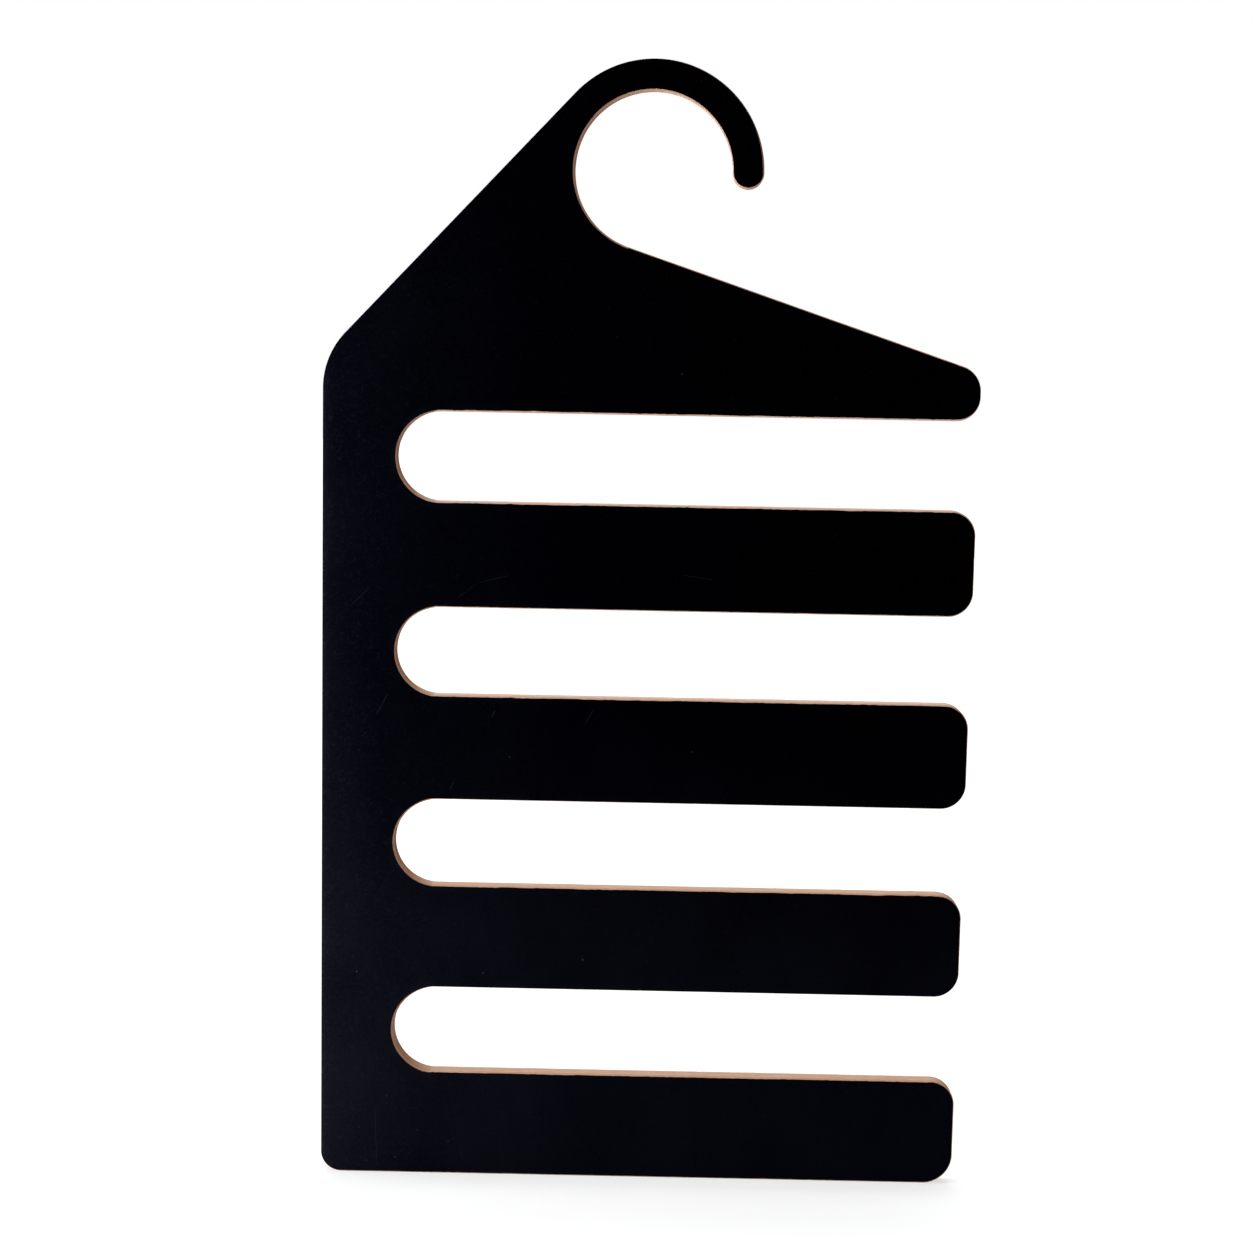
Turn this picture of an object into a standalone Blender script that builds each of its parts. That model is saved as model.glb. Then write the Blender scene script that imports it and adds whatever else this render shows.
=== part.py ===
"""One-sheet trouser hanger: a hook, a spine and five arms routed from a faced plywood board.

The origin is the rail seat, the top of the inside of the hook, halfway through the board.
X runs along the arms, Y goes through the board and Z is up. The front faces -Y.
"""
import math

import bpy

# Board
board_width = 0.350
board_thickness = 0.0090
face_film_thickness = 0.0002
glue_line = 0.0001
edge_easing = 0.0005

# Spine, arms and slots
spine_width = 0.0398
slot_count = 4
slot_height = 0.0477
arm_height = 0.0573
bottom_arm_height = 0.0585
arm_corner_radius = 0.0136
bottom_left_radius = 0.0112
bottom_right_radius = 0.0162

# Top arm
nose_height = 0.0259
nose_top_radius = 0.0141
nose_bottom_radius = 0.0127
left_slope_angle = math.radians(46.5)
shoulder_radius = 0.0430

# Hook
hook_centre_from_left = 0.1741
hook_centre_above_arm = 0.1278
hook_inner_radius = 0.0416
hook_band_width = 0.0163

# Smoothness of the round stretches
arc_flatness = 0.0001

# Finishes: colour, roughness, metallic
film_finish = ((0.0045, 0.0048, 0.0075, 1.0), 0.42, 0.0)
long_grain_finish = ((0.60, 0.40, 0.29, 1.0), 0.70, 0.0)
cross_grain_finish = ((0.50, 0.32, 0.22, 1.0), 0.78, 0.0)

# Angles, anticlockwise from the way the arms point
right = 0.0
up = math.radians(90)
left = math.radians(180)
down = math.radians(270)
full_turn = math.radians(360)

# Worked out from the sizes above
hook_outer_radius = hook_inner_radius + hook_band_width
top_arm_underside = (bottom_arm_height + slot_count * slot_height
                     + (slot_count - 1) * arm_height)
hook_centre_height = top_arm_underside + hook_centre_above_arm
rail_seat_height = hook_centre_height + hook_inner_radius

veneer_names = (
    "front_face_veneer",
    "front_crossband",
    "front_core_veneer",
    "centre_crossband",
    "back_core_veneer",
    "back_crossband",
    "back_face_veneer",
)
glue_line_count = len(veneer_names) + 1
veneer_thickness = (board_thickness - 2 * face_film_thickness
                    - glue_line_count * glue_line) / len(veneer_names)


def clear_scene():
    for old in list(bpy.data.objects):
        bpy.data.objects.remove(old, do_unlink=True)


def make_collection(name):
    collection = bpy.data.collections.new(name)
    bpy.context.scene.collection.children.link(collection)
    return collection


def make_finish(name, finish):
    colour, roughness, metallic = finish
    material = bpy.data.materials.new(name)
    material.use_nodes = True
    shader = material.node_tree.nodes["Principled BSDF"]
    shader.inputs["Base Color"].default_value = colour
    shader.inputs["Roughness"].default_value = roughness
    shader.inputs["Metallic"].default_value = metallic
    material.diffuse_color = colour
    return material


def corner(x, z, radius, start, end):
    """A rounded outer corner, walked anticlockwise about its centre at x, z."""
    return {"x": x, "z": z, "radius": radius, "start": start, "end": end, "hollow": False}


def hollow(x, z, radius, start, end):
    """A rounded inner edge, walked clockwise about its centre at x, z."""
    return {"x": x, "z": z, "radius": radius, "start": start, "end": end, "hollow": True}


def fillet(wanted, wall):
    """A corner radius, limited to just under half of the wall that it rounds."""
    return min(wanted, 0.49 * wall)


def base_corners():
    left_radius = fillet(bottom_left_radius, bottom_arm_height)
    right_radius = fillet(bottom_right_radius, bottom_arm_height)
    return [
        corner(left_radius, left_radius, left_radius, left, down),
        corner(board_width - right_radius, right_radius, right_radius, down, full_turn),
    ]


def slot_edges(slot_index):
    """The arm end below a slot, the slot's round inner end and the arm end above it."""
    floor = bottom_arm_height + slot_index * (slot_height + arm_height)
    ceiling = floor + slot_height
    end_radius = slot_height / 2
    below_radius = fillet(arm_corner_radius, arm_height)
    if slot_index == slot_count - 1:
        above_radius = fillet(nose_bottom_radius, nose_height)
    else:
        above_radius = below_radius
    return [
        corner(board_width - below_radius, floor - below_radius, below_radius, right, up),
        hollow(spine_width + end_radius, floor + end_radius, end_radius, down, up),
        corner(board_width - above_radius, ceiling + above_radius, above_radius, down, full_turn),
    ]


def right_slope_angle():
    """How far the top arm's upper edge falls, as a tangent from its nose to the hook's inside."""
    across = board_width - hook_centre_from_left
    rise = hook_centre_height - (top_arm_underside + nose_height)
    return math.atan2(rise, across) - math.asin(hook_inner_radius / math.hypot(across, rise))


def nose_edge():
    """The top arm's upper corner, where its end meets the falling slope."""
    slope = right_slope_angle()
    radius = fillet(nose_top_radius, nose_height)
    peak = top_arm_underside + nose_height
    centre_z = peak + radius * math.tan(slope) - radius / math.cos(slope)
    return [corner(board_width - radius, centre_z, radius, right, up - slope)]


def hook_edges():
    """The hook's inside, its round tip and its outside, down to the left slope."""
    slope = right_slope_angle()
    tip_radius = hook_band_width / 2
    tip_x = hook_centre_from_left + hook_inner_radius + tip_radius
    return [
        hollow(hook_centre_from_left, hook_centre_height, hook_inner_radius, down - slope, right),
        corner(tip_x, hook_centre_height, tip_radius, left, full_turn),
        corner(hook_centre_from_left, hook_centre_height, hook_outer_radius,
               right, up + left_slope_angle),
    ]


def shoulder_edge():
    """The bend from the left slope into the spine, tangent to both."""
    across = shoulder_radius - hook_centre_from_left
    drop = hook_outer_radius - shoulder_radius + math.sin(left_slope_angle) * across
    centre_z = hook_centre_height + drop / math.cos(left_slope_angle)
    return [corner(shoulder_radius, centre_z, shoulder_radius, up + left_slope_angle, left)]


def board_edges():
    """The whole outline as round stretches; the straight edges join one to the next."""
    edges = base_corners()
    for slot_index in range(slot_count):
        edges += slot_edges(slot_index)
    return edges + nose_edge() + hook_edges() + shoulder_edge()


def arc_points(edge, inset):
    """Points along one round stretch, moved in from the sawn edge by the inset."""
    radius = edge["radius"] + inset if edge["hollow"] else edge["radius"] - inset
    sweep = edge["end"] - edge["start"]
    step = 2 * math.acos(1 - arc_flatness / edge["radius"])
    count = max(2, math.ceil(abs(sweep) / step))
    points = []
    for index in range(count + 1):
        angle = edge["start"] + sweep * index / count
        x = edge["x"] + radius * math.cos(angle)
        z = edge["z"] + radius * math.sin(angle)
        points.append((x, z))
    return points


def outline(inset):
    points = []
    for edge in board_edges():
        points += arc_points(edge, inset)
    return points


def make_layer(name, front_face, thickness, inset, finish, collection, seat):
    """One sheet of the board, standing upright, its front face at the depth given."""
    curve = bpy.data.curves.new(name, "CURVE")
    curve.dimensions = "2D"
    curve.fill_mode = "BOTH"
    curve.extrude = thickness / 2
    points = outline(inset)
    spline = curve.splines.new("POLY")
    spline.points.add(len(points) - 1)
    for point, (x, z) in zip(spline.points, points):
        point.co = (x, z, 0, 1)
    spline.use_cyclic_u = True
    curve.materials.append(finish)
    layer = bpy.data.objects.new(name, curve)
    layer.rotation_euler = (math.radians(90), 0, 0)
    layer.location = (-hook_centre_from_left, front_face + thickness / 2, -rail_seat_height)
    layer.parent = seat
    collection.objects.link(layer)


def make_films(collection, seat):
    """The two black faces, which stop short of the sawn edge where it is eased."""
    finish = make_finish("black_film", film_finish)
    front = -board_thickness / 2
    back = board_thickness / 2 - face_film_thickness
    make_layer("front_film", front, face_film_thickness, edge_easing, finish, collection, seat)
    make_layer("back_film", back, face_film_thickness, edge_easing, finish, collection, seat)


def make_veneers(collection, seat):
    """The seven veneers, front to back, their grain turned a quarter from each to the next."""
    long_grain = make_finish("long_grain_veneer", long_grain_finish)
    cross_grain = make_finish("cross_grain_veneer", cross_grain_finish)
    front = -board_thickness / 2 + face_film_thickness + glue_line
    for index, name in enumerate(veneer_names):
        front_face = front + index * (veneer_thickness + glue_line)
        finish = cross_grain if index % 2 else long_grain
        make_layer(name, front_face, veneer_thickness, 0, finish, collection, seat)


def main():
    clear_scene()
    collection = make_collection("trouser_hanger")
    seat = bpy.data.objects.new("rail_seat", None)
    seat.empty_display_size = hook_inner_radius
    collection.objects.link(seat)
    make_films(collection, seat)
    make_veneers(collection, seat)


main()
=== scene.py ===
"""Flat trouser rack: a hook, a spine and open arms routed from one black-faced plywood board.

The origin is the rail seat, the top of the inside of the hook, halfway through the board.
X runs along the arms, Y goes through the board from its front to its back and Z is up.
"""
import math
import random

import bpy
import numpy as np
from bpy.props import FloatProperty, FloatVectorProperty, IntProperty, PointerProperty
from mathutils import Matrix, Vector


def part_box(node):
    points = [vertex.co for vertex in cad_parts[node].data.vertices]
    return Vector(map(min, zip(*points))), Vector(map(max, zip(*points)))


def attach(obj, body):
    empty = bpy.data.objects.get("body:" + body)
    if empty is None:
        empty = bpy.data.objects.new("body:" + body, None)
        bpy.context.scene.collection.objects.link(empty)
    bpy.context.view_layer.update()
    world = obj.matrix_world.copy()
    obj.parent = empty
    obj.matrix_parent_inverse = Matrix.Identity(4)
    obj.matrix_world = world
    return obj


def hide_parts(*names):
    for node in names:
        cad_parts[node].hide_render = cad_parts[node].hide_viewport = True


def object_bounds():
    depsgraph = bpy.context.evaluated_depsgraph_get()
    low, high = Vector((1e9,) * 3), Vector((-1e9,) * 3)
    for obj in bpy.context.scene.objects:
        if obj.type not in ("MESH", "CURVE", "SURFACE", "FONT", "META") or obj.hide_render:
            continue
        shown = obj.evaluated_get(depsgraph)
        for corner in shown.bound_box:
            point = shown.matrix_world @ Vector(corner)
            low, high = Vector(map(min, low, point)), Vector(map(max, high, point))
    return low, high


bl_info = {
    "name": "Trouser rack",
    "version": (1, 0, 0),
    "blender": (4, 5, 0),
    "location": "3D View > Sidebar > Trouser rack",
    "description": "Builds a one-board trouser rack and the studio that it is shown in",
    "category": "Add Mesh",
}

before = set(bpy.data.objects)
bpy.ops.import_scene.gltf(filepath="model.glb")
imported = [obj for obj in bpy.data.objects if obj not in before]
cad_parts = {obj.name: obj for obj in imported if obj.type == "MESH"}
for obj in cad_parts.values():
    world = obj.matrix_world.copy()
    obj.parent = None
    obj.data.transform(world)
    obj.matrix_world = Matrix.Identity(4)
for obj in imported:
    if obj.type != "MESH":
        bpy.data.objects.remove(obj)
cad_low, cad_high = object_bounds()

MM = 0.001

RIGHT = 0.0
UP = math.radians(90)
LEFT = math.radians(180)
DOWN = math.radians(270)
FULL_TURN = math.radians(360)

VENEERS = (
    "front_face_veneer",
    "front_crossband",
    "front_core_veneer",
    "centre_crossband",
    "back_core_veneer",
    "back_crossband",
    "back_face_veneer",
)

# Angles in degrees at which the edge settings give the easing of the round stretches
SLOT_END_ANGLES = (120, 180, 240)
HOOK_INSIDE_ANGLES = (0, 40, 60, 90, 130, 190, 235)
HOOK_TIP_ANGLES = (180, 230, 280, 340)
HOOK_OUTSIDE_ANGLES = (0, 15, 30, 45, 62, 78, 95, 115)

# How brown each round stretch is made, partly the cutter's burn and partly painted shade that
# darkens the walls facing away from the left softbox and the spine's side under it: angles in
# degrees, each with its amount or the edge setting that gives it. Above 1, a deeper painted
# shade goes on too.
BURN_AND_SHADE = {
    "bottom_left": ((180, "spine_burn_and_shade"), (260, 0.0)),
    "arm_ceiling": ((280, 0.0), (350, "arm_end_burn_and_shade")),
    "arm_floor": ((45, "arm_end_burn_and_shade"), (82, 0.0)),
    "slot_end": ((98, 0.0), (100, 1.0), (228, 1.0), (261, 0.35), (263, 0.0)),
    "nose": ((0, "arm_end_burn_and_shade"), (20, 1.3), (65, "slope_burn_and_shade")),
    "hook_inside": ((80, 0.0), (130, 0.75), (180, 1.0), (228, 1.05), (250, "slope_burn_and_shade")),
    "hook_tip": ((250, 0.0), (330, 0.6), (360, 1.1)),
    "hook_outside": ((0, 1.1), (15, 1.3), (40, 1.9), (100, 1.6), (136, "spine_burn_and_shade")),
    "shoulder": ((0, "spine_burn_and_shade"),),
}

# Fewest steps in a round stretch, and the spacing of its points as a share of the runs'
FEWEST_STEPS = 4
ROUND_SPACING_SHARE = 0.7
# A straight run limits a slot end's easing where the cosine between them is above this
RUN_LIMITS_ABOVE = 0.5

# The film's ragged edge: the periods of its wander, its tongues (their height a share of
# the easing) and nicks, the easing above which it is ragged, and how the amount of burn and
# painted shade calms it
LONG_WANDER, SHORT_WANDER, SHORT_WANDER_SHARE = 7 * MM, 1.6 * MM, 0.6
TONGUES = {"count": 140, "reach": (0.6 * MM, 1.4 * MM), "height": (0.10, 0.35)}
NICKS = {"count": 150, "reach": (0.5 * MM, 1.1 * MM), "height": (0.06 * MM, 0.20 * MM)}
RAGGED_ABOVE = 0.35 * MM
BURN_AND_SHADE_CALMS = 0.72

# The sawn wall: how far it is rubbed back, and its tear-outs
RUB, LEAST_RUB, RUB_PERIOD, RUB_WANDER = 0.02 * MM, 0.01 * MM, 9 * MM, 0.5
TEARS = {"count": 70, "reach": (0.7 * MM, 2.4 * MM), "height": (0.03 * MM, 0.13 * MM)}

# Rings of the arris: share of its width left, share of its depth reached, fresh sanding;
# and the most of the veneer that it takes
ARRIS_RINGS = ((0.62, 0.30, 0.8), (0.26, 0.66, 0.45), (0.0, 1.0, 0.15))
DEEPEST_ARRIS = 0.82
CREASE_DEPTH = 0.04 * MM
FILM_ROUNDING = 0.04 * MM

RING_STEP = 1.0 * MM
SMOOTH_BELOW = math.radians(24)

# Seeds of the irregularities: a film and the veneer under it share one
FRONT_SEED, BACK_SEED = 11, 41
WALL_SEED = 7
CORE_SEED, CORE_SEED_STEP = 100, 10

# Marks on the front, in millimetres and degrees: the middle, direction, half length and half
# width of each scratch, and the place and strength of each speck of dust
SCRATCHES = (
    (-141.7, -327.9, 62, 7.8, 0.20),
    (-81.4, -331.9, 64, 2.5, 0.22),
    (-29.4, -332.5, 59, 5.2, 0.16),
    (-103.5, -372.0, 59, 2.6, 0.20),
    (-153.5, -269.1, 44, 7.1, 0.14),
    (-96.5, -265.3, 38, 7.1, 0.12),
    (-81.7, -258.5, 14, 9.4, 0.12),
    (-143.7, -569.5, 92, 19.0, 0.16),
    (27.6, -255.5, 173, 9.5, 0.10),
)
SPECKS = (
    (-154.7, -476.6, 0.9), (-30.6, -467.5, 0.9), (-85.2, -475.9, 0.6), (-137.9, -547.0, 0.35),
    (-133.2, -581.7, 0.4), (-148.8, -584.1, 0.35), (-153.3, -564.9, 0.3),
    (-120.8, -566.1, 0.3), (-103.6, -572.1, 0.3), (-72.1, -355.3, 0.35), (16.9, -147.2, 0.4),
    (26.8, -350.6, 0.4),
)

# Where the marks fade: a speck's radius, shares of a scratch's length and width, and the
# levels of the patterns that draw the hairs, break them up, and make dust and patches
SPECK_EDGE = (0.40, 0.20)
SCRATCH_TAPER, SCRATCH_CORE = 0.6, 0.4
HAIR_EDGE, HAIR_GAPS = (0.050, 0.015), (0.48, 0.58)
DUST_EDGE, PATCH_EDGE = (0.028, 0.019), (0.40, 0.56)

# The film's painted sheen, a grey haze that stands in for light reflected in the film, in
# millimetres: its reach from the spine's edge, the width of its patches round the slots, and
# how far below the rail seat the low sheen sets in
SPINE_SHEEN_REACH, EDGE_SHEEN_REACH = 52.0, 2.0
RIM_SHEEN_REACH, RIM_SHEEN_WIDTH = 90.0, (6.0, 0.6)
LOW_SHEEN_REACH, LOW_SHEEN_START = 400.0, (300.0, 500.0)

# Heights in millimetres: a painted sheen makes the arms' upper edges paler from the first pair
# up, and no more from the second pair, below the hook
SHEEN_FROM, SHEEN_TO = (-500.0, -190.0), (-160.0, -180.0)

# A glue line fades from its soft side to its core, in millimetres from its middle
GLUE_EDGE = (0.10, 0.055)
FIBRE_STRETCH = 0.04
BUMP_DISTANCE = 0.05 * MM

# Name, place, target, size and power setting of each lamp
SOFTBOXES = (
    ("top_softbox", (-0.15, 0.25, 1.15), (0.0, 0.0, -0.3), (1.8, 1.2), "top_power"),
    ("left_softbox", (-1.6, 0.0, -0.36), (0.0, 0.0, -0.15), (1.0, 0.44), "left_power"),
)

FLOOR_SIZE = 24.0
# The seen floor turns all white between these distances, in millimetres, further out across
FULL_LIFT, FLOOR_SQUEEZE = (120.0, 320.0), (0.6, 1.0, 1.0)

# The camera, fitted to the photograph
CAMERA_LENS, CAMERA_SENSOR = 61.72, 36.0
CAMERA_PLACE = (-0.00470, -1.15463, -0.14661)
CAMERA_RIGHT = (0.9997963215, 0.0066648011, 0.019049826)
CAMERA_DOWN = (0.0197021397, -0.1176974593, -0.9928540345)
CAMERA_AHEAD = (-0.0043750586, 0.9930271339, -0.1178047976)
CAMERA_CLIPS = (0.05, 60.0)


def length(name, default, description):
    return FloatProperty(name=name, description=description, default=default,
                         min=0.0, precision=5, unit="LENGTH")


def lengths(name, default, description):
    return FloatVectorProperty(name=name, description=description, default=default,
                               size=len(default), min=0.0, precision=5, unit="LENGTH")


def share(name, default, description):
    return FloatProperty(name=name, description=description, default=default,
                         min=0.0, max=1.0, subtype="FACTOR")


def colour(name, default, description):
    return FloatVectorProperty(name=name, description=description, default=default,
                               size=3, min=0.0, max=1.0, subtype="COLOR")


class BoardSizes(bpy.types.PropertyGroup):
    """Sizes of the sawn outline."""

    board_width: length("Board width", cad_high.x - cad_low.x, "Spine to arm ends")
    hook_from_left: length("Hook from left", -cad_low.x, "Left edge to the hook's centre")
    spine_width: length("Spine width", 0.0398, "Left edge to the slots' inner ends")
    slot_count: IntProperty(name="Slots", description="Open slots", default=4, min=1)
    slot_height: length("Slot height", 0.0477, "Arm to arm")
    arm_height: length("Arm height", 0.0573, "Height of an arm between two slots")
    bottom_arm_height: length("Bottom arm height", 0.0585, "Height of the lowest arm")
    arm_corner: length("Arm corner", 0.0136, "Radius of the arms' corners")
    bottom_left_corner: length("Bottom left corner", 0.0112, "Radius below the spine")
    bottom_right_corner: length("Bottom right corner", 0.0162, "Radius of the lowest corner")
    nose_height: length("Nose height", 0.0259, "Height of the top arm's end")
    nose_top_corner: length("Nose top corner", 0.0141, "Radius above the top arm's end")
    nose_bottom_corner: length("Nose bottom corner", 0.0127, "Radius below the top arm's end")
    left_slope: FloatProperty(name="Left slope", description="Rise from the spine to the hook",
                              default=math.radians(46.5), subtype="ANGLE")
    shoulder_radius: length("Shoulder radius", 0.0430, "Bend from the slope into the spine")
    hook_above_arm: length("Hook above arm", 0.1278, "Top arm's underside to hook's centre")
    hook_inner_radius: length("Hook inner radius", 0.0416, "Inside of the hook")
    hook_band: length("Hook band", 0.0163, "Width of the hook's band")


class EdgeWork(bpy.types.PropertyGroup):
    """How the sawn edge was sanded: how far the black film stops short of it."""

    floor_easing: lengths("Slot floors", (0.76 * MM, 0.78 * MM, 0.84 * MM, 0.96 * MM),
                          "Easing below each slot, from the lowest slot up")
    ceiling_easing: lengths("Slot ceilings", (0.20 * MM, 0.25 * MM, 0.56 * MM, 0.85 * MM),
                            "Easing above each slot, from the lowest slot up")
    end_low_easing: lengths("Slot ends, low", (1.45 * MM, 1.05 * MM, 1.15 * MM, 1.25 * MM),
                            "Easing of each slot's round end, towards its floor")
    end_mid_easing: lengths("Slot ends, middle", (1.50 * MM, 1.25 * MM, 0.85 * MM, 1.00 * MM),
                            "Easing at the innermost point of each slot")
    end_high_easing: lengths("Slot ends, high", (0.45 * MM, 0.60 * MM, 0.70 * MM, 0.78 * MM),
                             "Easing of each slot's round end, towards its ceiling")
    arm_end_easing: length("Arm ends", 0.36 * MM, "Easing of the arms' ends")
    nose_easing: length("Nose", 0.20 * MM, "Easing of the top arm's end")
    bottom_easing: length("Bottom edge", 0.58 * MM, "Easing of the bottom edge")
    slope_easing: length("Right slope", 0.50 * MM, "Easing of the long falling edge")
    hook_easing: lengths("Hook inside",
                         (0.06 * MM, 0.10 * MM, 0.34 * MM, 0.76 * MM, 1.15 * MM, 1.30 * MM,
                          0.80 * MM),
                         "Easing inside the hook, from its tip round to the slope")
    tip_easing: lengths("Hook tip", (0.06 * MM, 0.30 * MM, 0.74 * MM, 0.62 * MM),
                        "Easing of the hook's round tip, from its inside to its outside")
    hook_outer_easing: lengths("Hook outside",
                               (0.85 * MM, 0.75 * MM, 0.48 * MM, 0.52 * MM, 0.48 * MM,
                                0.28 * MM, 0.12 * MM, 0.05 * MM),
                               "Easing outside the hook, from its tip round to its left side")
    outer_easing: length("Spine side", 0.05 * MM, "Easing left on the spine and the slope")
    # Painted shade, partly the cutter's burn: these three settings brown the arms' ends, the
    # falling edge and the spine's edge
    arm_end_burn_and_shade: share("Arm end burnish", 0.8, "How brown the cutter left the arms' ends")
    slope_burn_and_shade: share("Slope burnish", 0.9, "How brown the cutter left the falling edge")
    spine_burn_and_shade: share("Spine burnish", 0.6, "How brown the cutter left the spine's edge")
    depth_share: share("Depth", 0.62, "Depth of the easing as a share of its width")
    wander_share: share("Wander", 0.09, "How much the easing's width wanders")
    point_spacing: length("Spacing", 0.7 * MM, "Distance between points on a sanded edge")
    core_spacing: length("Core spacing", 1.1 * MM, "Distance between points on a core edge")


class FilmLook(bpy.types.PropertyGroup):
    """Finish of the black film."""

    black: colour("Black", (0.00003, 0.00003, 0.00012), "Body colour of the film")
    # Painted sheen: these two greys stand in for light reflected in the film, by the spine and
    # on the low arms
    spine_sheen: colour("Spine haze", (0.0033, 0.0034, 0.0050), "Handling haze by the spine")
    low_sheen: colour("Low haze", (0.0035, 0.0036, 0.0051), "Handling haze of the low arms")
    dust: colour("Dust", (0.110, 0.110, 0.120), "Specks of dust")
    scratch: colour("Scratch", (0.0240, 0.0260, 0.0360), "Fine scratches")
    roughness: share("Roughness", 0.42, "Blur of the sheen")
    gloss: share("Gloss", 0.030, "Strength of the sheen")


class WoodLook(bpy.types.PropertyGroup):
    """Finish of the bare veneer edges."""

    light: colour("Light wood", (0.73, 0.50, 0.375), "Light fibres")
    dark: colour("Dark wood", (0.47, 0.28, 0.19), "Dark fibres")
    end_grain: colour("End grain", (0.48, 0.295, 0.20), "Fibres cut across")
    arris: colour("Sanded arris", (0.76, 0.44, 0.28), "Freshly sanded wood by the film")
    # Painted shade, partly the cutter's burn: browns the walls that face away from the left
    # softbox
    burnt_and_shaded: colour("Burnished", (0.29, 0.13, 0.065), "Where the cutter rubbed")
    # Painted sheen: a paler wood on the level edges of the upper arms
    pale_sheen: colour("Rubbed", (0.82, 0.66, 0.60), "Where trousers rubbed the upper arms pale")
    # Painted shade: a deeper brown where the amount of burn and shade passes 1, on the hook's
    # outside and the nose
    deeper_shade: colour("Smudged", (0.095, 0.058, 0.052), "Where the film's black smeared on it")
    glue: colour("Glue", (0.33, 0.20, 0.13), "Dried glue between the veneers")
    roughness: share("Roughness", 0.68, "Blur of the wood's sheen")


class StageLook(bpy.types.PropertyGroup):
    """Light and floor of the studio."""

    ambient: FloatProperty(name="Ambient", description="Light from all round", default=0.36)
    top_power: FloatProperty(name="Top light", description="Power of the overhead softbox",
                             default=34.0, unit="POWER")
    left_power: FloatProperty(name="Left light", description="Power of the left softbox",
                              default=36.0, unit="POWER")
    window_glow: FloatProperty(name="Window", default=12.0,
                               description="Glow of the window that the film reflects")
    floor_colour: colour("Floor", (0.84, 0.85, 0.87), "Pale floor")
    floor_lift: FloatProperty(name="Floor lift", description="White added to the seen floor",
                              default=1.20)
    floor_lift_share: share("Lift share", 0.5, "Share of the seen floor that is lifted")


# Outline


def by_angle(degrees, values):
    """Reads a value off a list of them at given angles."""
    return lambda angle: float(np.interp(math.degrees(angle), degrees, tuple(values)))


def burn_and_shade_of(stretch, edges):
    """Reads the burn and painted shade of a round stretch at any angle."""
    degrees, amounts = zip(*BURN_AND_SHADE[stretch])
    return by_angle(degrees, [getattr(edges, amount) if isinstance(amount, str) else amount
                              for amount in amounts])


def corner(x, z, radius, start, end, after, easing=None, burnish=None):
    """A rounded corner, walked anticlockwise; after is the easing of the run that follows."""
    return {"x": x, "z": z, "radius": radius, "start": start, "end": end,
            "outward": 1, "after": after, "easing": easing, "burnish": burnish}


def hollow(x, z, radius, start, end, after, easing, burnish):
    """A rounded hollow, walked clockwise, with its easing and burnish by angle."""
    return {"x": x, "z": z, "radius": radius, "start": start, "end": end,
            "outward": -1, "after": after, "easing": easing, "burnish": burnish}


def slot_end(x, z, radius, edges, slot):
    """A slot's round end, sanded wider than the straight runs that it meets at a crease."""
    round_off = by_angle(SLOT_END_ANGLES, (edges.end_high_easing[slot],
                                           edges.end_mid_easing[slot],
                                           edges.end_low_easing[slot]))
    floor, ceiling = edges.floor_easing[slot], edges.ceiling_easing[slot]

    def easing(angle):
        limits = [round_off(angle)]
        for lean, straight in ((DOWN - angle, floor), (angle - UP, ceiling)):
            if math.cos(lean) > RUN_LIMITS_ABOVE:
                limits.append((radius + straight) / math.cos(lean) - radius)
        return min(limits)

    return hollow(x, z, radius, DOWN, UP, ceiling, easing, burn_and_shade_of("slot_end", edges))


def right_slope(sizes, arm_underside, hook_height):
    across = sizes.board_width - sizes.hook_from_left
    rise = hook_height - (arm_underside + sizes.nose_height)
    reach = math.hypot(across, rise)
    return math.atan2(rise, across) - math.asin(sizes.hook_inner_radius / reach)


def outline_arcs(sizes, edges):
    """Every round stretch in order, anticlockwise from the bottom left corner."""
    width = sizes.board_width
    left_r, right_r = sizes.bottom_left_corner, sizes.bottom_right_corner
    arm_ceiling = burn_and_shade_of("arm_ceiling", edges)
    arm_floor = burn_and_shade_of("arm_floor", edges)
    arcs = [
        corner(left_r, left_r, left_r, LEFT, DOWN, edges.bottom_easing,
               burnish=burn_and_shade_of("bottom_left", edges)),
        corner(width - right_r, right_r, right_r, DOWN, FULL_TURN, edges.arm_end_easing,
               burnish=arm_ceiling),
    ]
    end_r = sizes.slot_height / 2
    floor = sizes.bottom_arm_height
    for slot in range(sizes.slot_count):
        top = slot == sizes.slot_count - 1
        below_r = sizes.arm_corner
        above_r = sizes.nose_bottom_corner if top else sizes.arm_corner
        above_easing = edges.nose_easing if top else edges.arm_end_easing
        ceiling = floor + sizes.slot_height
        arcs += [
            corner(width - below_r, floor - below_r, below_r, RIGHT, UP,
                   edges.floor_easing[slot], burnish=arm_floor),
            slot_end(sizes.spine_width + end_r, floor + end_r, end_r, edges, slot),
            corner(width - above_r, ceiling + above_r, above_r, DOWN, FULL_TURN, above_easing,
                   burnish=arm_ceiling),
        ]
        floor = ceiling + sizes.arm_height
    return arcs + hook_arcs(sizes, edges, ceiling)


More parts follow.
